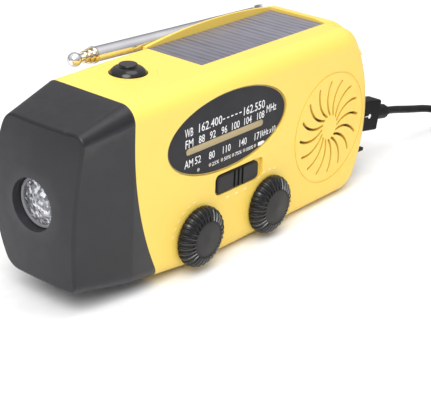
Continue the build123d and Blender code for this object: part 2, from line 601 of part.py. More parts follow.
def build_generator():
    first = (IDLER_SMALL_TEETH + CRANK_TEETH) * CRANK_MODULE / 2
    second = (IDLER_BIG_TEETH + PINION_TEETH) * PINION_MODULE / 2
    a, b = math.radians(IDLER_ANGLE), math.radians(MOTOR_ANGLE)
    idler_x, idler_z = CRANK_X + first * math.cos(a), CRANK_Z + first * math.sin(a)
    motor_x, motor_z = idler_x + second * math.cos(b), idler_z + second * math.sin(b)

    crank_phase = a
    small_phase = a + math.pi + math.pi / IDLER_SMALL_TEETH
    big_phase = b
    pinion_phase = b + math.pi + math.pi / PINION_TEETH
    wheel = gear(CRANK_TEETH, CRANK_MODULE, 2.6, 3.0, crank_phase)
    keep("crank_gear", placed_gear(CRANK_X, CRANK_Z, 19.0, wheel))
    small = gear(IDLER_SMALL_TEETH, CRANK_MODULE, 3.4, 1.5 + RUNNING, small_phase)
    big = gear(IDLER_BIG_TEETH, PINION_MODULE, 1.6, 1.5 + RUNNING, big_phase)
    idler = placed_gear(idler_x, idler_z, 19.4, small) + placed_gear(idler_x, idler_z, 16.0, big)
    keep("idler_gear", idler)
    pinion = gear(PINION_TEETH, PINION_MODULE, 2.6, 0.75, pinion_phase)
    rotor = placed_gear(motor_x, motor_z, 16.2, pinion) + rod_y(motor_x, motor_z, 6.0, 16.6, 0.75)
    keep("motor_pinion", rotor)
    motor = rod_y(motor_x, motor_z, -3.4, 10.4, 9.4) - rod_y(motor_x, motor_z, 5.5, 12, 0.75 + RUNNING)
    keep("generator", motor)

    plate = block(CRANK_X - 8, 78, 10.5, 12.0, 14, 46)
    for x, z in POSTS:
        plate -= rod_y(x, z, 0, 20, POST_R + 0.3)
    plate -= rod_y(CRANK_X, CRANK_Z, 0, 20, 3.0 + RUNNING)
    plate -= rod_y(motor_x, motor_z, 0, 20, 1.6)
    plate += rod_y(idler_x, idler_z, 10.5, 20.8, 1.5)
    keep("gear_plate", plate)
    print("idler axis", idler_x, idler_z, "generator axis", motor_x, motor_z)


# ---- crank --------------------------------------------------------------------------------
def build_crank():
    keep("crank_shaft", rod_y(CRANK_X, CRANK_Z, 10.6, ARM_Y + 2.0, 3.0))
    tip_x = CRANK_X - ARM_THROW
    outline = Pos((CRANK_X + tip_x) / 2, CRANK_Z) * SlotCenterToCenter(ARM_THROW, 2 * ARM_HALF)
    arm = prism_y(outline, ARM_Y, ARM_Y + ARM_DEPTH)
    arm = fillet(arm.faces().sort_by(Axis.Y)[-1].edges(), 1.2)
    pocket_x1 = tip_x + GRIP_LENGTH + 4.6
    arm -= block(tip_x - 10, pocket_x1, ARM_Y + 1.0, 60, CRANK_Z - GRIP_R - 0.5, CRANK_Z + GRIP_R + 0.5)
    arm -= rod_y(CRANK_X, CRANK_Z, ARM_Y - 1, ARM_Y + 2.0, 3.0)
    pin_y = ARM_Y + 6.0
    arm -= rod_z(tip_x, pin_y, CRANK_Z - 8, CRANK_Z + 8, 1.25)
    keep("crank_arm", arm)
    keep("fold_pin", rod_z(tip_x, pin_y, CRANK_Z - ARM_HALF + 0.6, CRANK_Z + ARM_HALF - 0.6, 1.25))
    knuckle = rod_z(tip_x, pin_y, CRANK_Z - 4.6, CRANK_Z + 4.6, 2.7)
    knuckle += block(tip_x, tip_x + 3.6, pin_y - 2.0, pin_y + 2.0, CRANK_Z - 4.6, CRANK_Z + 4.6)
    knuckle -= rod_z(tip_x, pin_y, 0, 80, 1.25 + RUNNING)
    spindle_end = tip_x + 3.6 + GRIP_LENGTH
    spindle = rod_x(pin_y, CRANK_Z, tip_x + 3.6, spindle_end - 1.6, 1.5)
    spindle += rod_x(pin_y, CRANK_Z, spindle_end - 2.6, spindle_end - 1.6, 2.6)
    keep("grip_bracket", knuckle + spindle)
    grip = rod_x(pin_y, CRANK_Z, tip_x + 3.9, spindle_end, 4.6)
    grip = fillet(grip.edges(), 1.2)
    grip -= rod_x(pin_y, CRANK_Z, tip_x, spindle_end - 2.0, 1.5 + RUNNING)
    grip -= rod_x(pin_y, CRANK_Z, spindle_end - 2.9, spindle_end - 1.3, 2.8)
    keep("crank_grip", grip)
    print("fold axis", tip_x, pin_y)


# ---- antenna ------------------------------------------------------------------------------
def build_antenna():
    pivot = Vector(ANTENNA_X, ANTENNA_Y, ANTENNA_Z)
    tilt = math.radians(ANTENNA_TILT)
    axis = Plane(origin=pivot, x_dir=(0, 1, 0), z_dir=(-math.cos(tilt), 0, math.sin(tilt)))
    post = rod_z(ANTENNA_X, ANTENNA_Y, 52.0, 65.6, 2.5)
    post += rod_z(ANTENNA_X, ANTENNA_Y, 65.4, 73.6, 3.3)
    post -= block(60, 80, ANTENNA_Y - 1.6, ANTENNA_Y + 1.6, 67.6, 80)
    post -= rod_y(ANTENNA_X, ANTENNA_Z, 10, 40, 1.0)
    keep("antenna_swivel", post)
    keep("antenna_pin", rod_y(ANTENNA_X, ANTENNA_Z, ANTENNA_Y - 3.0, ANTENNA_Y + 3.0, 1.0))
    tongue = rod_y(ANTENNA_X, ANTENNA_Z, ANTENNA_Y - 1.5, ANTENNA_Y + 1.5, 2.3)
    tongue += axis * (Pos(0, 0, 2.9) * Box(3.0, 4.4, 5.8))
    tongue -= rod_y(ANTENNA_X, ANTENNA_Z, 10, 40, 1.0 + RUNNING)
    keep("antenna_tongue", tongue)
    start = 5.8
    for i in range(ANTENNA_SECTIONS):
        radius = ANTENNA_R - 0.5 * i
        end = start + ANTENNA_LENGTH - 1.2 + i * ANTENNA_STEP
        base = start + 2.6 * i
        tube = Pos(0, 0, (base + end) / 2) * Cylinder(radius, end - base)
        if i < ANTENNA_SECTIONS - 1:
            tube -= Pos(0, 0, (base + end) / 2 + 2.0) * Cylinder(radius - 0.5 + RUNNING, end - base)
        if i == ANTENNA_SECTIONS - 1:
            tube += Pos(0, 0, end + 1.6) * Sphere(ANTENNA_BALL_R)
        keep(f"antenna_tube_{i + 1}", axis * tube)
    return axis


# ---- sockets, cover and lead --------------------------------------------------------------
def build_ports():
    shell = block(-12.4, -2.2, -3.5, 3.5, -7.2, 7.2) - block(-11.4, 5, -2.4, 2.4, -6.2, 6.2)
    keep("usb_socket", usb_frame() * shell)
    micro = block(-5.6, 0, -1.5, 1.4, -4.0, 4.0) - block(-4.8, 5, -0.95, 0.95, -3.5, 3.5)
    keep("charge_socket", Pos(MICRO_X, MICRO_Y, MICRO_Z) * micro)

    width = COVER_Y1 - COVER_Y0
    middle = (COVER_Y0 + COVER_Y1) / 2
    flap = rod_y(COVER_X, COVER_Z, COVER_Y0, COVER_Y1, 1.35)
    blade = Pos(COVER_LENGTH / 2, middle, 0) * Box(COVER_LENGTH, width, 1.4)
    flap += Pos(COVER_X, 0, COVER_Z) * Rot(0, COVER_DROOP, 0) * blade
    flap -= rod_y(COVER_X, COVER_Z, -30, 10, 0.7 + RUNNING)
    keep("port_cover", flap)


def rounded_route(points):
    """Straight runs joined by arcs as large as their runs allow."""
    radii = []
    for before, here, after in zip(points, points[1:], points[2:]):
        first = Vector(*here) - Vector(*before)
        second = Vector(*after) - Vector(*here)
        turn = math.radians(first.get_angle(second))
        radii.append(0.45 * min(first.length, second.length) / math.tan(turn / 2))
    print("cord radii", [round(r, 1) for r in radii])
    return FilletPolyline(*points, radius=radii)


def build_lead():
    frame = usb_frame()
    keep("plug_shell", frame * block(-11.0, PLUG_X0, -2.25, 2.25, -6.0, 6.0))
    mould = block(PLUG_X0, PLUG_X1, -3.9, 3.9, -7.0, 7.0)
    keep("plug_body", frame * fillet(mould.edges(), 1.0))
    boot = [(0, PLUG_X1), (3.3, PLUG_X1), (3.3, BOOT_X1), (2.4, BOOT_X1 + 0.5), (2.2, LEAD_X0), (0, LEAD_X0)]
    keep("plug_relief", frame * turned(boot, Plane(origin=(0, 0, 0), x_dir=(0, 1, 0), z_dir=(1, 0, 0))))
    route = rounded_route(LEAD_ROUTE)
    start = Plane(origin=route @ 0, z_dir=route % 0)
    tube = sweep(start * Circle(LEAD_R), path=route)
    print("lead tube", tube.volume / (math.pi * LEAD_R**2), route.length)
    keep("lead_tube", tube)
    half = 2 * LEAD_R
    coil = Pos(COIL_X, COIL_Y, half) * (Cylinder(COIL_MID_R + half, 2 * half) - Cylinder(COIL_MID_R - half, 3 * half))
    keep("lead_coil", coil)
    far_y = COIL_Y - COIL_MID_R
    far = block(147.0, 165.0, far_y - 5.2, far_y + 5.2, 0.1, 6.6)
    far = fillet(far.edges(), 1.0)
    far += rod_x(far_y, 3.35, 164.0, 173.6, 2.8) - coil
    far += block(140.5, 148.0, far_y - 3.4, far_y + 3.4, 2.4, 4.2)
    keep("lead_far_plug", far)


def build_all():
    outer = build_case()
    build_torch()
    build_top()
    build_dial()
    build_controls()
    build_speaker()
    build_electronics()
    build_door(outer)
    build_generator()
    build_crank()
    build_antenna()
    build_ports()
    build_lead()
    os.makedirs("parts", exist_ok=True)
    for name, shape in PIECES.items():
        export_step(shape, f"parts/{name}.step")



build_all()
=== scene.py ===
import json
import math
import random

import bmesh
import bpy
from mathutils import Matrix, Vector


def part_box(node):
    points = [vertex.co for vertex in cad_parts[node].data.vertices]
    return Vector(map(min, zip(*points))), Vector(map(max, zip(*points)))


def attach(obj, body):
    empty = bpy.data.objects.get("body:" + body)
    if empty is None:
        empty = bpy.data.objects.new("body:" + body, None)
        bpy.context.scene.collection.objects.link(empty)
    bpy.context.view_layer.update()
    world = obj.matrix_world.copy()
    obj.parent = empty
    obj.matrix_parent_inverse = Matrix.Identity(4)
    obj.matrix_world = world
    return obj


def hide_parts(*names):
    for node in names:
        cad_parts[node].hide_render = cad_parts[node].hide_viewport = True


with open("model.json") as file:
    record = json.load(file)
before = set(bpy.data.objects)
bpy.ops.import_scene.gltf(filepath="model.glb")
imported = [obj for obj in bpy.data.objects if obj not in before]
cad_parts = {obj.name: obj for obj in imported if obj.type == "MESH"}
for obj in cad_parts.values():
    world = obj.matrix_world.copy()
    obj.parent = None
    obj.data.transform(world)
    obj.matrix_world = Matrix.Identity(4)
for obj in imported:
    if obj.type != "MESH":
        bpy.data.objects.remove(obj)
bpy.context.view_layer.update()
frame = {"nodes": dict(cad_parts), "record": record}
NODES = frame["nodes"]
SUBPARTS = {s["node"]: s["material_slot"] for s in frame["record"]["subparts"]}
JOINTS = {j["name"]: j for j in frame["record"]["behaviour"]["joints"]}
MM = 0.001
FRONTWARDS = (0, -1, 0)
rng = random.Random(7)


# ---- helpers: places ----------------------------------------------------------------------
def low(node):
    return Vector(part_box(node)[0])


def high(node):
    return Vector(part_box(node)[1])


def centre(node):
    return (low(node) + high(node)) / 2


# ---- camera, lights and floor -------------------------------------------------------------
CAMERA_AT = Vector((-0.35299, -0.30187, 0.22633))
CAMERA_AZIMUTH, CAMERA_ELEVATION, CAMERA_ROLL = -50.64, 25.12, 2.25
CAMERA_LENS = 106.39
LIGHT_TARGET = Vector((0, 0, 0.035))
HORIZON_GREY, OVERHEAD_GREY = (0.0, 0.34), (0.75, 0.85)
FLOOR_HALF, FLOOR_DROP = 6.0, 0.0003


def view_axes(azimuth, elevation):
    """Right, up and back of a camera that looks at the object from this angle."""
    az, el = math.radians(azimuth), math.radians(elevation)
    back = Vector((math.sin(az) * math.cos(el), -math.cos(az) * math.cos(el), math.sin(el)))
    right = Vector((math.cos(az), math.sin(az), 0))
    return right, back.cross(right), back


def add_camera():
    right, up, back = view_axes(CAMERA_AZIMUTH, CAMERA_ELEVATION)
    roll = math.radians(CAMERA_ROLL)
    turned_right = math.cos(roll) * right + math.sin(roll) * up
    turned_up = math.cos(roll) * up - math.sin(roll) * right
    data = bpy.data.cameras.new("camera")
    data.sensor_width = 36
    data.lens = CAMERA_LENS
    data.clip_start, data.clip_end = 0.02, 20
    camera = bpy.data.objects.new("camera", data)
    rotation = Matrix((turned_right, turned_up, back)).transposed()
    camera.matrix_world = Matrix.Translation(CAMERA_AT) @ rotation.to_4x4()
    bpy.context.scene.collection.objects.link(camera)
    bpy.context.scene.camera = camera


def add_area_light(name, azimuth, elevation, distance, size, power):
    data = bpy.data.lights.new(name, "AREA")
    data.shape = "DISK"
    data.size = size
    data.energy = power
    light = bpy.data.objects.new(name, data)
    right, up, back = view_axes(azimuth, elevation)
    rotation = Matrix((right, up, back)).transposed()
    light.matrix_world = Matrix.Translation(LIGHT_TARGET + back * distance) @ rotation.to_4x4()
    bpy.context.scene.collection.objects.link(light)


def add_world():
    """A soft white room: bright overhead, dimmer towards the horizon."""
    world = bpy.data.worlds.new("studio")
    world.use_nodes = True
    nodes, links = world.node_tree.nodes, world.node_tree.links
    height = nodes.new("ShaderNodeSeparateXYZ")
    links.new(nodes.new("ShaderNodeTexCoord").outputs["Generated"], height.inputs[0])
    ramp = nodes.new("ShaderNodeValToRGB")
    links.new(height.outputs["Z"], ramp.inputs["Fac"])
    for element, (position, grey) in zip(ramp.color_ramp.elements, (HORIZON_GREY, OVERHEAD_GREY)):
        element.position = position
        element.color = (grey, grey, grey * 1.01, 1)
    links.new(ramp.outputs["Color"], nodes["Background"].inputs["Color"])
    bpy.context.scene.world = world
    bpy.context.scene.view_settings.view_transform = "Standard"


def add_floor():
    mesh = bpy.data.meshes.new("floor")
    signs = ((-1, -1), (1, -1), (1, 1), (-1, 1))
    mesh.from_pydata([(x * FLOOR_HALF, y * FLOOR_HALF, 0) for x, y in signs], [], [(0, 1, 2, 3)])
    floor = bpy.data.objects.new("floor", mesh)
    floor.location.z = -FLOOR_DROP
    bpy.context.scene.collection.objects.link(floor)
    mesh.materials.append(plain("floor_white", (0.92, 0.92, 0.92), 0.8, grain=0.0))


# ---- helpers: materials -------------------------------------------------------------------
NOISE_ROUGHNESS = 0.55
MOTTLE_SPREAD = 0.05
ROUGHNESS_SPREAD = 0.05


class Graph:
    """A short way to write a node tree: each call adds one node and sets its sockets."""

    def __init__(self, name):
        self.material = bpy.data.materials.new(name)
        self.material.use_nodes = True
        self.nodes = self.material.node_tree.nodes
        self.links = self.material.node_tree.links
        self.shader = self.nodes["Principled BSDF"]
        self.coords = self.nodes.new("ShaderNodeTexCoord").outputs["Object"]

    def add(self, kind, **sockets):
        node = self.nodes.new(kind)
        for key, value in sockets.items():
            self.put(node, key.replace("_", " "), value)
        return node

    def put(self, node, key, value):
        socket = node.inputs[int(key) if key.isdigit() else key]
        if isinstance(value, bpy.types.NodeSocket):
            self.links.new(value, socket)
        elif hasattr(value, "__len__") and len(value) == 3 and socket.type == "RGBA":
            socket.default_value = (*value, 1)
        else:
            socket.default_value = value

    def set(self, **sockets):
        for key, value in sockets.items():
            self.put(self.shader, key.replace("_", " "), value)

    def noise(self, scale, detail=3.0, vector=None):
        node = self.add("ShaderNodeTexNoise", Vector=vector or self.coords, Scale=scale, Detail=detail)
        node.inputs["Roughness"].default_value = NOISE_ROUGHNESS
        return node.outputs["Fac"]

    def span(self, value, from_low, from_high, to_low, to_high):
        node = self.add("ShaderNodeMapRange", Value=value)
        node.inputs["From Min"].default_value = from_low
        node.inputs["From Max"].default_value = from_high
        node.inputs["To Min"].default_value = to_low
        node.inputs["To Max"].default_value = to_high
        return node.outputs["Result"]

    def math(self, operation, first, second=0.5):
        node = self.nodes.new("ShaderNodeMath")
        node.operation = operation
        self.put(node, "0", first)
        self.put(node, "1", second)
        return node.outputs[0]

    def ramp(self, value, stops):
        node = self.add("ShaderNodeValToRGB", Fac=value)
        elements = node.color_ramp.elements
        while len(elements) < len(stops):
            elements.new(0.5)
        for element, (position, colour) in zip(elements, stops):
            element.position = position
            element.color = (*colour, 1)
        return node.outputs["Color"]

    def mix(self, factor, first, second):
        node = self.nodes.new("ShaderNodeMix")
        node.data_type = "RGBA"
        self.put(node, "0", factor)
        self.put(node, "6", first)
        self.put(node, "7", second)
        return node.outputs[2]

    def axis(self, name):
        return self.add("ShaderNodeSeparateXYZ", Vector=self.coords).outputs[name]

    def bump(self, height, distance, strength=1.0):
        node = self.add("ShaderNodeBump", Height=height, Distance=distance, Strength=strength)
        return node.outputs["Normal"]

    def worn_edges(self, low_point=0.52, high_point=0.60):
        pointiness = self.nodes.new("ShaderNodeNewGeometry").outputs["Pointiness"]
        return self.span(pointiness, low_point, high_point, 0.0, 1.0)


def shaded(colour, amount):
    return tuple(min(1.0, c * amount) for c in colour)


def plain(name, colour, roughness, grain=0.00004, grain_scale=2600.0, specular=0.5):
    """Moulded material: mottled colour, uneven roughness and a fine grain."""
    g = Graph(name)
    darker, lighter = shaded(colour, 1 - MOTTLE_SPREAD), shaded(colour, 1 + MOTTLE_SPREAD)
    smoother, rougher = max(0.02, roughness - ROUGHNESS_SPREAD), roughness + ROUGHNESS_SPREAD
    g.set(
        Base_Color=g.ramp(g.noise(60.0), [(0.3, darker), (0.7, lighter)]),
        Roughness=g.span(g.noise(240.0, 4.0), 0.3, 0.7, smoother, rougher),
        Specular_IOR_Level=specular,
    )
    if grain:
        g.set(Normal=g.bump(g.noise(grain_scale, 2.0), grain, 0.35))
    return g.material


def yellow_shell():
    """Satin lemon ABS, finely spark-eroded, with painted shade: warmer and deeper low down and towards +X."""
    g = Graph("yellow_shell")
    lit_yellow, shaded_yellow = (0.93, 0.675, 0.130), (0.91, 0.635, 0.112)
    # painted shade: the colour turns to the darker, warmer yellow towards the bottom and towards +X, where
    # less light falls
    height = g.span(g.axis("Z"), 0.0, 0.075, 1.0, 0.0)
    along = g.span(g.axis("X"), -0.06, 0.09, 0.0, 0.6)
    painted_shade = g.math("MULTIPLY", g.math("ADD", height, along), 0.62)
    base = g.mix(painted_shade, lit_yellow, shaded_yellow)
    mottle = g.span(g.noise(45.0, 4.0), 0.35, 0.65, 0.0, 0.10)
    colour = g.mix(mottle, base, shaded(shaded_yellow, 0.93))
    g.set(
        Base_Color=colour,
        Roughness=g.span(g.noise(180.0, 4.0), 0.3, 0.7, 0.36, 0.46),
        Specular_IOR_Level=0.45,
        Subsurface_Weight=0.08,
        Subsurface_Scale=0.002,
        Normal=g.bump(g.noise(3200.0, 2.0), 0.00003, 0.3),
    )
    return g.material


def charcoal_shell():
    """Soft-touch charcoal ABS with a fine leathery grain and slightly rubbed edges."""
    g = Graph("charcoal_shell")
    mottle = g.ramp(g.noise(70.0, 4.0), [(0.3, (0.010, 0.010, 0.013)), (0.7, (0.015, 0.0145, 0.018))])
    colour = g.mix(g.math("MULTIPLY", g.worn_edges(), 0.3), mottle, (0.06, 0.06, 0.066))
    grain = g.add("ShaderNodeTexVoronoi", Vector=g.coords, Scale=1500.0).outputs["Distance"]
    g.set(
        Base_Color=colour,
        Roughness=g.span(g.noise(260.0, 4.0), 0.3, 0.7, 0.34, 0.44),
        Specular_IOR_Level=0.42,
        Normal=g.bump(grain, 0.00003, 0.35),
    )
    return g.material


def black_plastic():
    """Satin black moulding with slightly rubbed edges."""
    g = Graph("black_plastic")
    mottle = g.ramp(g.noise(90.0, 4.0), [(0.3, (0.004, 0.004, 0.0045)), (0.7, (0.007, 0.007, 0.0075))])
    colour = g.mix(g.math("MULTIPLY", g.worn_edges(), 0.4), mottle, (0.03, 0.03, 0.032))
    g.set(
        Base_Color=colour,
        Roughness=g.span(g.noise(300.0, 4.0), 0.3, 0.7, 0.30, 0.42),
        Specular_IOR_Level=0.3,
        Normal=g.bump(g.noise(2600.0, 2.0), 0.00003, 0.35),
    )
    return g.material


def dial_black():
    """The printed dial panel: dark satin lacquer with faint orange peel."""
    g = Graph("dial_black")
    g.set(
        Base_Color=g.ramp(g.noise(50.0, 4.0), [(0.3, (0.026, 0.026, 0.031)), (0.7, (0.032, 0.032, 0.037))]),
        Roughness=g.span(g.noise(200.0, 4.0), 0.3, 0.7, 0.50, 0.60),
        Specular_IOR_Level=0.16,
        Normal=g.bump(g.noise(500.0, 1.0), 0.00002, 0.3),
    )
    return g.material


def clear_plastic():
    """The scale's window: thin, pale amber and see-through."""
    g = Graph("clear_plastic")
    g.set(
        Base_Color=g.ramp(g.noise(30.0), [(0.3, (0.88, 0.72, 0.40)), (0.7, (0.92, 0.76, 0.44))]),
        Roughness=g.span(g.noise(150.0), 0.3, 0.7, 0.06, 0.10),
        Alpha=0.36,
        IOR=1.49,
    )
    return g.material


def scale_cream():
    """The printed card behind the scale window: cream, with a faint tick every 1.6 mm."""
    g = Graph("scale_cream")
    position = g.math("MULTIPLY", g.axis("X"), 1 / (1.6 * MM))
    tick = g.math("LESS_THAN", g.math("FRACT", position), 0.16)
    paper = g.ramp(g.noise(300.0, 4.0), [(0.3, (0.76, 0.62, 0.34)), (0.7, (0.84, 0.69, 0.39))])
    g.set(
        Base_Color=g.mix(g.math("MULTIPLY", tick, 0.15), paper, (0.10, 0.08, 0.05)),
        Roughness=g.span(g.noise(400.0), 0.3, 0.7, 0.5, 0.65),
    )
    return g.material


def solar_cell():
    """Grey-violet silicon in soft stripes that run along Y, under clear laminate, with a painted shadow of
    the case wall darkening it towards -X.
    """
    g = Graph("solar_cell")
    stripe_pitch = 3.3 * MM
    phase = g.math("FRACT", g.math("MULTIPLY", g.axis("X"), 1 / stripe_pitch), 0)
    stripe = g.math("ABSOLUTE", g.math("SUBTRACT", phase, 0.5), 0)
    along = g.add("ShaderNodeMapping", Vector=g.coords, Scale=(1.0, 0.12, 1.0)).outputs["Vector"]
    uneven = g.math("ADD", g.math("MULTIPLY", stripe, 0.9), g.noise(420.0, 3.0, vector=along))
    silicon = g.ramp(uneven, [(0.42, (0.085, 0.080, 0.108)), (0.85, (0.225, 0.220, 0.262))])
    patch = g.span(g.noise(28.0, 2.0), 0.35, 0.65, 0.0, 0.45)
    clouded = g.mix(patch, silicon, (0.180, 0.175, 0.215))
    # painted shadow: darker towards -X, where the case wall shades the recessed panel
    painted_wall_shadow = g.span(g.axis("X"), -0.030, 0.045, 0.55, 0.0)
    g.set(
        Base_Color=g.mix(painted_wall_shadow, clouded, (0.055, 0.052, 0.068)),
        Roughness=g.span(g.noise(220.0), 0.3, 0.7, 0.30, 0.42),
        Specular_IOR_Level=0.4,
        Coat_Weight=0.15,
        Coat_Roughness=0.15,
        Normal=g.bump(uneven, 0.00002, 0.3),
    )
    return g.material


def metal(name, colour, roughness, brushed_axis=None, edge=None):
    """Bare or plated metal: brushed_axis gives fine lines, edge is a painted reflection: the colour seen at a
    glancing angle.
    """
    g = Graph(name)
    vector = g.coords
    if brushed_axis is not None:
        stretch = [40.0, 40.0, 40.0]
        stretch[brushed_axis] = 1.0
        vector = g.add("ShaderNodeMapping", Vector=g.coords, Scale=stretch).outputs["Vector"]
    lines = g.noise(120.0, 4.0, vector=vector)
    tone = g.ramp(lines, [(0.3, shaded(colour, 0.93)), (0.7, shaded(colour, 1.05))])
    if edge is not None:
        # painted reflection: towards glancing angles the tone is mixed into the edge colour, a dark rim
        # painted in
        painted_rim_mask = g.add("ShaderNodeLayerWeight", Blend=0.5).outputs["Facing"]
        tone = g.mix(g.span(painted_rim_mask, 0.35, 0.85, 0.0, 1.0), tone, edge)
    g.set(
        Base_Color=tone,
        Metallic=1.0,
        Roughness=g.span(lines, 0.3, 0.7, roughness * 0.7, roughness * 1.3),
        Normal=g.bump(lines, 0.00001, 0.25),
    )
    return g.material


def board_green():
    """Solder-masked board: tracks show as slightly lighter right-angled bands."""
    g = Graph("board_green")
    tracks = g.add("ShaderNodeTexBrick", Vector=g.coords, Scale=260.0).outputs["Fac"]
    mask = g.ramp(g.noise(80.0, 4.0), [(0.3, (0.012, 0.105, 0.040)), (0.7, (0.020, 0.150, 0.060))])
    g.set(
        Base_Color=g.mix(g.math("MULTIPLY", tracks, 0.6), mask, (0.06, 0.24, 0.10)),
        Roughness=g.span(g.noise(200.0), 0.3, 0.7, 0.25, 0.35),
        Normal=g.bump(tracks, 0.00004, 0.4),
    )
    return g.material


def rubber():
    """Matt black rubber and cord sleeve, finely dimpled."""
    g = Graph("rubber")
    mottle = g.ramp(g.noise(110.0, 4.0), [(0.3, (0.005, 0.005, 0.0055)), (0.7, (0.009, 0.009, 0.0095))])
    g.set(
        Base_Color=mottle,
        Specular_IOR_Level=0.18,
        Roughness=g.span(g.noise(350.0, 4.0), 0.3, 0.7, 0.42, 0.56),
        Normal=g.bump(g.noise(1800.0, 3.0), 0.00003, 0.35),
    )
    return g.material


def paper():
    """Woven speaker cloth and pressed paper: a fine over-and-under weave."""
    g = Graph("paper")
    weave = g.add("ShaderNodeTexWave", Vector=g.coords, Scale=900.0, Distortion=0.4).outputs["Fac"]
    g.set(
        Base_Color=g.ramp(weave, [(0.2, (0.10, 0.075, 0.025)), (0.8, (0.20, 0.155, 0.060))]),
        Roughness=g.span(g.noise(400.0), 0.3, 0.7, 0.75, 0.9),
        Normal=g.bump(weave, 0.00008, 0.6),
    )
    return g.material


def facet_glass():
    """The moulded lens: bright, clear and hard, with painted reflections: light and dark cells painted into
    its colour as the facets' glints.
    """
    g = Graph("facet_glass")
    # painted reflections: each small cell is painted from dark to bright like a facet's glint
    glint_cells = g.add("ShaderNodeTexVoronoi", Vector=g.coords, Scale=900.0).outputs["Color"]
    tone = g.ramp(
        g.add("ShaderNodeRGBToBW", Color=glint_cells).outputs[0],
        [(0.25, (0.12, 0.122, 0.135)), (0.55, (0.28, 0.285, 0.31)), (0.85, (0.80, 0.81, 0.84))],
    )
    g.set(
        Base_Color=tone,
        Roughness=g.span(g.noise(200.0), 0.3, 0.7, 0.06, 0.14),
        Metallic=0.35,
        Transmission_Weight=0.12,
        IOR=1.49,
        Specular_IOR_Level=0.8,
    )
    return g.material


def knob_face():
    """The knob's face disc: grey, spun, with faint rings."""
    g = Graph("knob_face")
    mottle = g.ramp(g.noise(150.0, 4.0), [(0.3, (0.020, 0.020, 0.021)), (0.7, (0.028, 0.028, 0.029))])
    g.set(
        Base_Color=mottle,
        Roughness=g.span(g.noise(260.0), 0.3, 0.7, 0.42, 0.52),
        Specular_IOR_Level=0.3,
        Normal=g.bump(g.noise(900.0), 0.00003, 0.3),
    )
    return g.material


def dial_print():
    """White ink."""
    g = Graph("dial_print")
    g.set(
        Base_Color=g.ramp(g.noise(500.0), [(0.3, (0.82, 0.82, 0.83)), (0.7, (0.90, 0.90, 0.91))]),
        Roughness=g.span(g.noise(500.0), 0.3, 0.7, 0.5, 0.6),
    )
    return g.material


def pale_mark():
    """Cream ink for the marks on the yellow case."""
    g = Graph("pale_mark")
    g.set(
        Base_Color=g.ramp(g.noise(500.0), [(0.3, (0.94, 0.80, 0.38)), (0.7, (0.95, 0.84, 0.46))]),
        Roughness=g.span(g.noise(500.0), 0.3, 0.7, 0.5, 0.6),
    )
    return g.material


def gold_line():
    """Dull gold ink round the dial."""
    g = Graph("gold_line")
    g.set(
        Base_Color=g.ramp(g.noise(300.0), [(0.3, (0.36, 0.25, 0.05)), (0.7, (0.46, 0.33, 0.08))]),
        Roughness=g.span(g.noise(300.0), 0.3, 0.7, 0.35, 0.45),
    )
    return g.material


SLOT_MATERIALS = {
    "yellow_shell": yellow_shell(),
    "charcoal_shell": charcoal_shell(),
    "black_plastic": black_plastic(),
    "dial_black": dial_black(),
    "clear_plastic": clear_plastic(),
    "scale_cream": scale_cream(),
    "pointer_red": plain("pointer_red", (0.55, 0.03, 0.015), 0.4),
    "solar_cell": solar_cell(),
    # the chrome's edge colour is a painted dark reflection along the antenna's sides
    "chrome": metal("chrome", (0.95, 0.94, 1.0), 0.18, edge=(0.22, 0.22, 0.24)),
    "reflector": metal("reflector", (0.92, 0.93, 0.95), 0.05),
    "led": plain("led", (0.85, 0.80, 0.55), 0.3),
    "steel": metal("steel", (0.60, 0.60, 0.62), 0.28, 0),
    "gear_nylon": plain("gear_nylon", (0.72, 0.70, 0.62), 0.5),
    "brass": metal("brass", (0.72, 0.50, 0.20), 0.25, 1),
    "board_green": board_green(),
    "grey_plastic": plain("grey_plastic", (0.16, 0.165, 0.175), 0.45),
    "magnet": plain("magnet", (0.06, 0.06, 0.065), 0.6, grain=0.0001, grain_scale=900.0),
    "paper": paper(),
    "cell_wrap": plain("cell_wrap", (0.02, 0.09, 0.36), 0.3),
    "cell_black": plain("cell_black", (0.02, 0.02, 0.022), 0.3),
    "rubber": rubber(),
}

# for nodes that differ from the rest of their slot
NODE_MATERIALS = {
    "torch_button": plain("gloss_black", (0.006, 0.006, 0.0065), 0.18, grain=0.00001, specular=0.5),
    "plug_body": plain("plug_black", (0.005, 0.005, 0.0055), 0.50, specular=0.12),
    "band_slider": plain("slider_black", (0.010, 0.010, 0.011), 0.40, specular=0.3),
    "torch_bezel": plain("bezel_grey", (0.30, 0.30, 0.31), 0.35),
}


def dress_cad_nodes():
    for name, obj in NODES.items():
        material = NODE_MATERIALS.get(name) or SLOT_MATERIALS[SUBPARTS[name]]
        obj.data.materials.clear()
        obj.data.materials.append(material)


# ---- helpers: meshes ----------------------------------------------------------------------
def piece(name, bm, body, material, smooth_angle=35.0):
    """Turns a bmesh into an object that rides on a body."""
    bmesh.ops.remove_doubles(bm, verts=bm.verts, dist=1e-7)
    bmesh.ops.recalc_face_normals(bm, faces=bm.faces)
    mesh = bpy.data.meshes.new(name)
    bm.to_mesh(mesh)
    bm.free()
    mesh.materials.append(material)
    mesh.shade_smooth()
    mesh.set_sharp_from_angle(angle=math.radians(smooth_angle))
    obj = bpy.data.objects.new(name, mesh)
    bpy.context.scene.collection.objects.link(obj)
    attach(obj, body)
    return obj


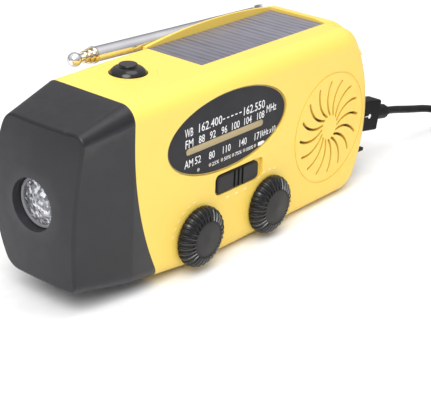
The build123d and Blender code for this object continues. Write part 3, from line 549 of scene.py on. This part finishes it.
def turned(bm, profile, place, steps=64):
    """Adds a closed solid of revolution: profile is (radius, height) pairs, place maps its Z axis."""
    rings = []
    for radius, height in profile:
        if radius < 1e-9:
            rings.append([bm.verts.new(place @ Vector((0, 0, height)))])
            continue
        ring = []
        for i in range(steps):
            a = 2 * math.pi * i / steps
            ring.append(bm.verts.new(place @ Vector((radius * math.cos(a), radius * math.sin(a), height))))
        rings.append(ring)
    pairs = list(zip(rings, rings[1:]))
    if len(rings[0]) > 1 and len(rings[-1]) > 1:
        pairs.append((rings[-1], rings[0]))
    for first, second in pairs:
        for i in range(steps):
            j = (i + 1) % steps
            corners = [first[i % len(first)], first[j % len(first)]]
            corners += [second[j % len(second)], second[i % len(second)]]
            unique = list(dict.fromkeys(corners))
            if len(unique) > 2:
                bm.faces.new(unique)


def facing(origin, direction, x_axis=Vector((1, 0, 0))):
    """A matrix that puts local Z along direction at origin."""
    z = Vector(direction).normalized()
    x = (Vector(x_axis) - z * z.dot(Vector(x_axis))).normalized()
    return Matrix.Translation(origin) @ Matrix((x, z.cross(x), z)).transposed().to_4x4()


def slab(bm, place, width, height, depth, bevel):
    """Adds a thin block with bevelled edges, its middle at place, depth along local Z."""
    made = bmesh.ops.create_cube(bm, size=1.0, matrix=place @ Matrix.Diagonal((width, height, depth, 1)))
    edges = list({e for v in made["verts"] for e in v.link_edges})
    bmesh.ops.bevel(bm, geom=edges, offset=bevel, segments=2, affect="EDGES", profile=0.5)


# ---- cord ---------------------------------------------------------------------------------
LEAD_DIAMETER = 3.5 * MM
LEAD_ROUTE = [
    (120.0, -12.5, 22.56),
    (126.4, -12.5, 21.43),
    (140.0, -12.6, 17.9),
    (158.0, -13.3, 14.0),
    (170.0, -14.6, 9.0),
    (179.5, -15.7, 3.8),
    (187.0, -15.3, 1.8),
]
LEAD_TAIL = [(181.0, -56.9, 5.3), (176.0, -56.6, 4.7), (172.0, -55.3, 3.6), (169.0, -55.0, 3.35)]
COIL_TURNS = 3.5
POINTS_PER_TURN = 20
OUTER_R, INNER_R, LOW_Z, HIGH_Z = 20.7, 17.25, 1.8, 5.25
TIE_ANGLE, TIE_WIDTH, TIE_WALL, TIE_CORNER = -20, 5.0, 0.55, 1.6
TIE_INNER_R, TIE_OUTER_R, TIE_TOP = 15.3, 22.5, 7.25


def step_between(turn, start, end):
    part = min(1.0, max(0.0, (turn - start) / (end - start)))
    return part * part * (3 - 2 * part)


def coil_points():
    """Outer turn, inner turn, then the same two a layer higher, each a diameter from the last."""
    middle = centre("lead_coil")
    points = []
    for i in range(1, int(COIL_TURNS * POINTS_PER_TURN) + 1):
        turn = i / POINTS_PER_TURN
        inward = step_between(turn, 0.85, 1.0) - step_between(turn, 2.68, 2.80)
        radius = (OUTER_R + (INNER_R - OUTER_R) * inward) / math.cos(math.pi / POINTS_PER_TURN) * MM
        height = (LOW_Z + (HIGH_Z - LOW_Z) * step_between(turn, 1.80, 1.90)) * MM
        angle = math.pi / 2 - 2 * math.pi * turn
        points.append((middle.x + radius * math.cos(angle), middle.y + radius * math.sin(angle), height))
    return points


def add_lead():
    points = [Vector(p) * MM for p in LEAD_ROUTE] + [Vector(p) for p in coil_points()]
    points += [Vector(p) * MM for p in LEAD_TAIL]
    curve = bpy.data.curves.new("charging_lead", "CURVE")
    curve.dimensions = "3D"
    curve.bevel_depth = LEAD_DIAMETER / 2
    curve.bevel_resolution = 5
    curve.resolution_u = 5
    curve.use_fill_caps = True
    spline = curve.splines.new("NURBS")
    spline.points.add(len(points) - 1)
    for target, point in zip(spline.points, points):
        target.co = (*point, 1)
    spline.order_u = 3
    spline.use_endpoint_u = True
    curve.materials.append(SLOT_MATERIALS["rubber"])
    lead = bpy.data.objects.new("charging_lead", curve)
    bpy.context.scene.collection.objects.link(lead)
    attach(lead, "case")
    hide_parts("lead_tube", "lead_coil")
    tie = add_tie()


def add_tie():
    """A flat strap wrapped once round the coil's turns."""
    bm = bmesh.new()
    middle = centre("lead_coil")
    angle = math.radians(TIE_ANGLE)
    half_width, corner, wall = TIE_WIDTH / 2 * MM, TIE_CORNER * MM, TIE_WALL * MM
    centre_r, half_r = (TIE_INNER_R + TIE_OUTER_R) / 2 * MM, (TIE_OUTER_R - TIE_INNER_R) / 2 * MM
    half_z = TIE_TOP / 2 * MM
    loops = []
    for inset, across in ((0, -1), (0, 1), (wall, 1), (wall, -1)):
        ring = []
        for quarter in range(4):
            for k in range(6):
                a = math.pi / 2 * (quarter + k / 5)
                sx = 1 if quarter in (0, 3) else -1
                sz = 1 if quarter in (0, 1) else -1
                r = centre_r + sx * (half_r - corner) + (corner - inset) * math.cos(a)
                z = half_z + sz * (half_z - corner) + (corner - inset) * math.sin(a)
                along = across * half_width
                x = middle.x + r * math.cos(angle) - along * math.sin(angle)
                y = middle.y + r * math.sin(angle) + along * math.cos(angle)
                ring.append(bm.verts.new((x, y, z)))
        loops.append(ring)
    for first, second in zip(loops, loops[1:] + loops[:1]):
        for i in range(len(first)):
            j = (i + 1) % len(first)
            bm.faces.new((first[i], first[j], second[j], second[i]))
    return piece("lead_tie", bm, "case", SLOT_MATERIALS["rubber"])


# ---- front: dial print, marks, knob faces -------------------------------------------------
# text, left end X, baseline Z, width, height
DIAL_TEXT = [
    ("WB", -32.9, 55.3, 4.5, 3.3),
    ("162.400", -25.2, 55.5, 13.0, 3.4),
    ("162.550", 0.6, 55.1, 12.7, 3.4),
    ("MHz", 14.6, 52.5, 6.0, 3.1),
    ("FM", -32.4, 51.0, 4.2, 3.2),
    ("88", -25.1, 51.1, 3.3, 3.0),
    ("92", -18.9, 51.1, 3.3, 3.0),
    ("96", -12.3, 51.1, 3.3, 3.0),
    ("100", -6.2, 51.1, 4.5, 3.0),
    ("104", 1.1, 51.1, 4.4, 3.0),
    ("108", 8.9, 51.1, 4.4, 3.0),
    ("AM", -32.7, 43.2, 4.7, 3.1),
    ("52", -26.9, 43.4, 3.3, 3.0),
    ("80", -19.0, 43.0, 3.3, 3.0),
    ("110", -11.0, 43.0, 4.5, 3.0),
    ("140", -1.2, 42.9, 4.3, 3.0),
    ("171", 8.0, 42.9, 3.9, 3.0),
    ("kHz x10", 12.5, 43.4, 8.4, 2.5),
    ("25%", -17.0, 39.9, 3.9, 1.5),
    ("50%", -10.1, 39.9, 3.9, 1.5),
    ("75%", -3.6, 39.9, 3.9, 1.5),
    ("100%", 3.0, 39.9, 4.2, 1.5),
]
LED_DOTS_X = [-24.8, -18.2, -11.3, -4.8, 1.8, 8.4]
LED_DOTS_Z = 40.7
DASH_X = [-11.1, -8.7, -6.3, -3.9, -1.5]
DASH_Z = 57.0
BATTERY_SIGN = [(12.0, 3.4, 1.5), (14.0, 0.6, 0.8)]  # middle X, width, height
PRINT_DEPTH, PRINT_BEVEL = 0.06 * MM, 0.02 * MM
LETTER_LIFT = 0.03


def fitted_text(bm, text, x, z, width, height, y):
    """Adds raised characters that face -Y, stretched to fill width by height."""
    curve = bpy.data.curves.new("characters", "FONT")
    curve.body = text
    curve.extrude = 0.012
    curve.offset = 0.002
    curve.resolution_u = 2
    holder = bpy.data.objects.new("characters", curve)
    mesh = bpy.data.meshes.new_from_object(holder)
    xs = [v.co.x for v in mesh.vertices]
    ys = [v.co.y for v in mesh.vertices]
    scale_x, scale_z = width / (max(xs) - min(xs)), height / (max(ys) - min(ys))
    for v in mesh.vertices:
        v.co = Vector((
            (x + (v.co.x - min(xs)) * scale_x) * MM,
            y - (LETTER_LIFT + v.co.z) * MM,
            (z + (v.co.y - min(ys)) * scale_z) * MM,
        ))
    bm.from_mesh(mesh)
    bpy.data.objects.remove(holder)
    bpy.data.curves.remove(curve)
    bpy.data.meshes.remove(mesh)


def add_dial_print():
    y = low("dial_plate").y
    bm = bmesh.new()
    for row in DIAL_TEXT:
        fitted_text(bm, *row, y)
    for x in DASH_X:
        spot = facing((x * MM, y, DASH_Z * MM), FRONTWARDS)
        slab(bm, spot, 1.3 * MM, 0.45 * MM, PRINT_DEPTH, PRINT_BEVEL)
    for x, width, height in BATTERY_SIGN:
        spot = facing((x * MM, y, LED_DOTS_Z * MM), FRONTWARDS)
        slab(bm, spot, width * MM, height * MM, PRINT_DEPTH, PRINT_BEVEL)
    piece("dial_figures", bm, "case", dial_print())
    lamps = bmesh.new()
    for x in LED_DOTS_X:
        dome = [(0, 0.22 * MM), (0.5 * MM, 0.15 * MM), (0.75 * MM, 0), (0, 0)]
        turned(lamps, dome, facing((x * MM, y, LED_DOTS_Z * MM), FRONTWARDS), 20)
    piece("dial_lamps", lamps, "case", plain("lamp_off", (0.42, 0.36, 0.30), 0.3))


def add_dial_trim():
    """A thin line round the dial plate's edge."""
    bm = bmesh.new()
    middle = centre("dial_plate")
    half_a = (high("dial_plate").x - low("dial_plate").x) / 2
    half_b = (high("dial_plate").z - low("dial_plate").z) / 2
    y = low("dial_plate").y
    steps = 128
    rings = []
    for inset, lift in ((0.0, 0.0), (0.0, 0.10 * MM), (0.45 * MM, 0.10 * MM), (0.55 * MM, 0.0)):
        ring = []
        for i in range(steps):
            a = 2 * math.pi * i / steps
            x = middle.x + (half_a - inset) * math.cos(a)
            z = middle.z + (half_b - inset) * math.sin(a)
            ring.append(bm.verts.new((x, y - lift, z)))
        rings.append(ring)
    for first, second in zip(rings, rings[1:] + rings[:1]):
        for i in range(steps):
            j = (i + 1) % steps
            bm.faces.new((first[i], first[j], second[j], second[i]))
    piece("dial_trim", bm, "case", gold_line())


FACE_R, FACE_RINGS, FACE_CROWN = 6.6 * MM, 6, 0.30 * MM
RIB_COUNT = 30
RIB_HALF_WIDTH, RIB_TOP_SHARE, RIB_LIFT = 0.42 * MM, 0.55, 0.40 * MM
RIB_PATH = [(11.75, 0.3), (11.75, 1.2), (11.2, 2.6), (10.0, 3.65), (8.5, 4.45), (7.2, 4.95)]  # radius, height


def add_knob_face(knob, body):
    """A crowned disc with fine turned rings, set on the knob's flat face."""
    bm = bmesh.new()
    middle = centre(knob)
    front = low(knob).y
    profile = [(0, FACE_CROWN + 0.04 * MM)]
    for i in range(FACE_RINGS):
        r = (FACE_R - 0.3 * MM) * (i + 1) / FACE_RINGS
        crown = FACE_CROWN * (1 - (r / FACE_R) ** 2)
        profile.append((r - 0.22 * MM, crown + 0.05 * MM))
        profile.append((r, crown))
    profile += [(FACE_R, -0.05 * MM), (0, -0.05 * MM)]
    turned(bm, profile, facing((middle.x, front, middle.z), FRONTWARDS), 96)
    piece(f"{knob}_face", bm, body, knob_face())


def add_knob_ribs(knob, body):
    """Raised ribs between the knob's flutes, from the rim up to the face."""
    bm = bmesh.new()
    middle = centre(knob)
    back = high(knob).y
    place = facing((middle.x, back, middle.z), FRONTWARDS)
    for k in range(RIB_COUNT):
        a = 2 * math.pi * (k + 0.5) / RIB_COUNT
        out = Vector((math.cos(a), math.sin(a), 0))
        side = Vector((-math.sin(a), math.cos(a), 0)) * RIB_HALF_WIDTH
        lift = (out + Vector((0, 0, 1))).normalized() * RIB_LIFT
        previous = None
        for r, h in RIB_PATH:
            base = out * (r * MM) + Vector((0, 0, h * MM))
            left, right = base - side * RIB_TOP_SHARE + lift, base + side * RIB_TOP_SHARE + lift
            section = [base - side, left, right, base + side]
            ring = [bm.verts.new(place @ p) for p in section]
            if previous:
                for i in range(4):
                    j = (i + 1) % 4
                    bm.faces.new((previous[i], previous[j], ring[j], ring[i]))
            else:
                bm.faces.new(ring)
            previous = ring
        bm.faces.new(reversed(previous))
    gloss = plain(f"{knob}_gloss", (0.006, 0.006, 0.0065), 0.20, grain=0.00001, specular=0.75)
    piece(f"{knob}_ribs", bm, body, gloss)


MARK_RING_R, MARK_PITCH = 14.6 * MM, 5.2 * MM


def add_marks():
    """Plain tick marks round the knobs and under the slider."""
    bm = bmesh.new()
    y = low("dial_plate").y - 0.7 * MM
    for knob, start, end, count in (("tuning_knob", 100, 165, 6), ("volume_knob", 75, 115, 4)):
        middle = centre(knob)
        for i in range(count):
            a = math.radians(start + (end - start) * i / (count - 1))
            spot = (middle.x + MARK_RING_R * math.cos(a), y, middle.z + MARK_RING_R * math.sin(a))
            x_axis = Vector((-math.sin(a), 0, math.cos(a)))
            slab(bm, facing(spot, FRONTWARDS, x_axis), 1.5 * MM, 0.5 * MM, PRINT_DEPTH, PRINT_BEVEL)
    slider = centre("band_slider")
    for i in range(3):
        spot = (slider.x + (i - 1) * MARK_PITCH, y, low("band_slider").z - 3.0 * MM)
        slab(bm, facing(spot, FRONTWARDS), 1.9 * MM, 0.7 * MM, PRINT_DEPTH, PRINT_BEVEL)
    piece("front_marks", bm, "case", pale_mark())


# ---- torch --------------------------------------------------------------------------------
LENS_EDGE_R, LENS_CROWN = 8.15 * MM, 0.9 * MM
LENS_RINGS, LENS_STEPS, SMOOTH_RINGS = 8, 30, 3


def add_torch_lens():
    """The moulded lens: a smooth middle, then rings of small facets, each tilted its own way."""
    bm = bmesh.new()
    front, back = low("torch_lens").x, high("torch_lens").x
    middle = centre("torch_lens")
    place = facing((front, middle.y, middle.z), (-1, 0, 0), (0, 1, 0))
    grid = []
    for ring in range(LENS_RINGS + 1):
        r = LENS_EDGE_R * ring / LENS_RINGS
        faceted = SMOOTH_RINGS < ring < LENS_RINGS
        row = []
        for i in range(LENS_STEPS):
            a = 2 * math.pi * (i + 0.5 * (ring % 2)) / LENS_STEPS
            jitter = rng.uniform(-0.26, 0.02) * MM if faceted else 0.0
            h = -LENS_CROWN * (r / LENS_EDGE_R) ** 2 + jitter - 0.02 * MM
            row.append(bm.verts.new(place @ Vector((r * math.cos(a), r * math.sin(a), h))))
        grid.append(row)
    for first, second in zip(grid, grid[1:]):
        for i in range(LENS_STEPS):
            j = (i + 1) % LENS_STEPS
            bm.faces.new((first[i], second[i], second[j]))
            bm.faces.new((first[i], second[j], first[j]))
    base = [bm.verts.new(v.co + Vector((back - front - LENS_CROWN, 0, 0))) for v in grid[-1]]
    for i in range(LENS_STEPS):
        j = (i + 1) % LENS_STEPS
        bm.faces.new((grid[-1][i], base[i], base[j], grid[-1][j]))
    bm.faces.new(base)
    lens = piece("torch_lens_facets", bm, "case", facet_glass(), smooth_angle=2.0)
    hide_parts("torch_lens")


def add_button_ring():
    """A fine raised ring moulded in the case top round the torch button."""
    bm = bmesh.new()
    middle = centre("torch_button")
    top = high("solar_panel").z + 0.35 * MM
    outline = [(10.6, -0.02), (10.7, 0.12), (11.1, 0.12), (11.2, -0.02)]
    profile = [(radius * MM, height * MM) for radius, height in outline]
    turned(bm, profile, Matrix.Translation((middle.x, middle.y, top)), 96)
    piece("button_ring", bm, "case", SLOT_MATERIALS["yellow_shell"])


# ---- top, antenna, back -------------------------------------------------------------------
FINGER_PITCH = 3.3 * MM


def add_solar_fingers():
    """Fine collector lines across the panel, a hair proud of it."""
    bm = bmesh.new()
    a, b = low("solar_panel"), high("solar_panel")
    count = int((b.x - a.x - 2 * MM) / FINGER_PITCH)
    for i in range(count):
        spot = (a.x + 1.7 * MM + i * FINGER_PITCH, (a.y + b.y) / 2, b.z)
        slab(bm, Matrix.Translation(spot), 0.22 * MM, (b.y - a.y) - 2.0 * MM, 0.05 * MM, 0.015 * MM)
    piece("solar_fingers", bm, "case", plain("solar_finger", (0.20, 0.19, 0.24), 0.35))


ANTENNA_TILT = 2.2
TUBE_END, TUBE_R = 103.1, 3.0
TUBE_END_STEP, TUBE_R_STEP = 2.2, 0.5
COLLAR = [(0.02, -1.9), (0.22, -1.7), (0.30, -1.2), (0.22, -0.7), (0.10, -0.5), (0.26, -0.3), (0.16, 0.0)]


def antenna_place(distance):
    """A frame on the folded antenna's axis, at a distance in mm from its pivot."""
    tilt = math.radians(ANTENNA_TILT)
    pivot = Vector(JOINTS["antenna_lift"]["pos_m"])
    direction = Vector((-math.cos(tilt), 0, math.sin(tilt)))
    return facing(pivot + direction * distance * MM, direction, (0, 1, 0))


def add_antenna_collars():
    """Rolled collars where each section ends."""
    # the edge colour is a painted dark brown reflection round the collars' sides
    warm_plating = metal("warm_plating", (0.74, 0.62, 0.44), 0.10, edge=(0.12, 0.08, 0.04))
    for i, body in enumerate(("antenna_1", "antenna_2", "antenna_3")):
        bm = bmesh.new()
        radius = TUBE_R - TUBE_R_STEP * i
        profile = [((radius + out) * MM, along * MM) for out, along in COLLAR]
        profile += [((radius - 0.3) * MM, 0.02 * MM), ((radius - 0.3) * MM, -1.9 * MM)]
        turned(bm, profile, antenna_place(TUBE_END + TUBE_END_STEP * i), 48)
        piece(f"antenna_collar_{i + 1}", bm, body, warm_plating)


GRIP_RINGS = 6


def add_grip_rings():
    """Rounded finger rings round the crank grip."""
    bm = bmesh.new()
    a, b = low("crank_grip"), high("crank_grip")
    middle = centre("crank_grip")
    arc = [math.pi * k / 6 for k in range(7)]
    profile = [((4.5 + 0.32 * math.sin(t)) * MM, -0.7 * MM * math.cos(t)) for t in arc]
    profile += [(4.3 * MM, 0.7 * MM), (4.3 * MM, -0.7 * MM)]
    for i in range(GRIP_RINGS):
        x = a.x + (b.x - a.x) * (i + 1.2) / (GRIP_RINGS + 1.4)
        turned(bm, profile, facing((x, middle.y, middle.z), (1, 0, 0), (0, 1, 0)), 40)
    piece("grip_rings", bm, "grip", SLOT_MATERIALS["black_plastic"])


COVER_TILT = 2.0


def add_cover_ribs():
    """Four finger ribs across the outside of the rubber port cover."""
    bm = bmesh.new()
    a, b = low("port_cover"), high("port_cover")
    tilt = math.radians(COVER_TILT)
    direction = Vector((math.cos(tilt), 0, -math.sin(tilt)))
    outward = Vector((math.sin(tilt), 0, math.cos(tilt)))
    hinge = Vector(JOINTS["cover_fold"]["pos_m"])
    for i in range(4):
        spot = hinge + direction * (4.0 + 1.5 * i) * MM + outward * 0.7 * MM
        place = facing(spot, outward, direction)
        slab(bm, place, 0.6 * MM, (b.y - a.y) * 0.7, 0.3 * MM, 0.12 * MM)
    piece("cover_ribs", bm, "port_cover", SLOT_MATERIALS["rubber"])


USB_MOUTH, USB_TILT = Vector((88.0, -12.5, 28.2)) * MM, 10
PLUG_SIDE_Y = -3.9 * MM


def add_plug_details():
    """A pale dot and line on the plug's side."""
    bm = bmesh.new()
    plug = Matrix.Translation(USB_MOUTH) @ Matrix.Rotation(math.radians(USB_TILT), 4, "Y")
    dot = [(0, 0.06 * MM), (0.95 * MM, 0.06 * MM), (1.1 * MM, -0.02 * MM), (0, -0.02 * MM)]
    turned(bm, dot, facing(plug @ Vector((12.6 * MM, PLUG_SIDE_Y, 0)), FRONTWARDS), 32)
    line = facing(plug @ Vector((10.4 * MM, PLUG_SIDE_Y, 0)), FRONTWARDS, plug.to_3x3() @ Vector((1, 0, 0)))
    slab(bm, line, 2.6 * MM, 0.35 * MM, PRINT_DEPTH, PRINT_BEVEL)
    piece("plug_dot", bm, "case", dial_print())


ARROW_CORNERS = [(3.0, -2.2), (3.0, 2.2), (8.6, 0.0)]


def add_door_arrow():
    """A small raised arrow on the battery door."""
    bm = bmesh.new()
    back = high("battery_door").y
    middle = centre("battery_door")
    flat = [(middle.x + x * MM, middle.z + z * MM) for x, z in ARROW_CORNERS]
    bottom = [bm.verts.new((x, back - 0.35 * MM, z)) for x, z in flat]
    top = [bm.verts.new((x, back - 0.02 * MM, z)) for x, z in flat]
    bm.faces.new(top)
    bm.faces.new(reversed(bottom))
    for i in range(3):
        j = (i + 1) % 3
        bm.faces.new((bottom[i], bottom[j], top[j], top[i]))
    piece("door_arrow", bm, "battery_door", SLOT_MATERIALS["yellow_shell"])


# ---- scene --------------------------------------------------------------------------------
add_camera()
add_world()
add_area_light("key", azimuth=-62, elevation=48, distance=1.0, size=0.7, power=6.5)
add_area_light("top", azimuth=40, elevation=78, distance=1.0, size=0.8, power=3.6)
add_floor()
dress_cad_nodes()
add_lead()
add_dial_print()
add_dial_trim()
for knob_name, knob_body in (("tuning_knob", "tuner"), ("volume_knob", "volume")):
    add_knob_face(knob_name, knob_body)
    add_knob_ribs(knob_name, knob_body)
add_marks()
add_torch_lens()
add_button_ring()
add_solar_fingers()
add_antenna_collars()
add_grip_rings()
add_cover_ribs()
add_plug_details()
add_door_arrow()

bpy.context.view_layer.update()
